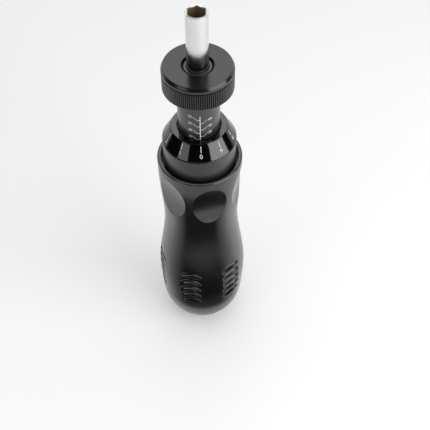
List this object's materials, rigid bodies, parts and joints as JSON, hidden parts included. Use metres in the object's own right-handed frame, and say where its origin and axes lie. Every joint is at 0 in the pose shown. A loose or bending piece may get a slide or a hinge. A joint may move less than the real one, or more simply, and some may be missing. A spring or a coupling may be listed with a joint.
{
  "type": "torque screwdriver",
  "caption": "Hand torque screwdriver with a waisted grip, turning graduated dial, scale barrel, knurled lock ring and magnetic hex bit holder.",
  "frame": {"origin": "middle of the flat ring at the butt of the grip, on the plane the driver stands on", "axes": "+Z along the driver's axis, from the butt towards the bit holder; -Y faces the scale side"},
  "size_m": [0.0412, 0.0412, 0.1843],
  "materials": {
    "grip_plastic": "semi-gloss moulded",
    "cap_plastic": "satin moulded",
    "black_satin": "black anodised, satin",
    "black_gloss": "black anodised, polished, white figures",
    "barrel_metal": "dark anodised, satin, white scale",
    "chrome": "bright chrome plate",
    "turned_steel": "turned",
    "ball_steel": "polished",
    "spring_steel": "oiled",
    "brass": "machined",
    "magnet_nickel": "nickel plated",
    "seal_rubber": "smooth"
  },
  "bodies": {
    "handle": {"handle_grip": "grip_plastic", "butt_cap": "cap_plastic", "ferrule": "black_satin", "barrel_seal": "seal_rubber", "graduated_dial": "black_gloss", "adjusting_screw": "turned_steel", "screw_washers": "turned_steel", "screw_lock_nut": "turned_steel", "thrust_ball": "ball_steel"},
    "spring_seat": {"spring_seat": "turned_steel", "main_spring": "spring_steel"},
    "barrel": {"scale_barrel": "barrel_metal", "barrel_nut": "brass", "nose_bush": "turned_steel", "thrust_washer": "brass", "ring_spring": "spring_steel"},
    "drive": {"drive_shaft": "chrome", "bit_magnet": "magnet_nickel", "clutch_balls": "ball_steel"},
    "pressure_plate": {"pressure_plate": "turned_steel"},
    "lock_ring": {"knurled_ring": "black_satin", "ring_retainer": "black_satin", "lock_rods": "turned_steel", "lock_collar": "turned_steel"}
  },
  "joints": [
    {"name": "setting_turn", "type": "hinge", "parent": "handle", "child": "spring_seat", "pos_m": [0, 0, 0.09], "axis": [0, 0, -1], "range_deg": [0, 2160]},
    {"name": "setting_travel", "type": "slide", "parent": "spring_seat", "child": "barrel", "axis": [0, 0, -1], "range_m": [0, 0.0105], "deforming": ["main_spring"]},
    {"name": "drive_spin", "type": "hinge", "parent": "barrel", "child": "drive", "pos_m": [0, 0, 0.15], "axis": [0, 0, 1], "continuous": true},
    {"name": "clutch_lift", "type": "slide", "parent": "barrel", "child": "pressure_plate", "axis": [0, 0, -1], "range_m": [0, 0.0005], "stiffness_N_per_m": 500, "springref_m": -0.002},
    {"name": "ring_pull", "type": "slide", "parent": "barrel", "child": "lock_ring", "axis": [0, 0, 1], "range_m": [0, 0.002], "stiffness_N_per_m": 1500, "springref_m": -0.003, "deforming": ["ring_spring"]}
  ],
  "couplings": [
    {"joint": "setting_travel", "follows": "setting_turn", "m_per_rad": 0.00027852}
  ]
}
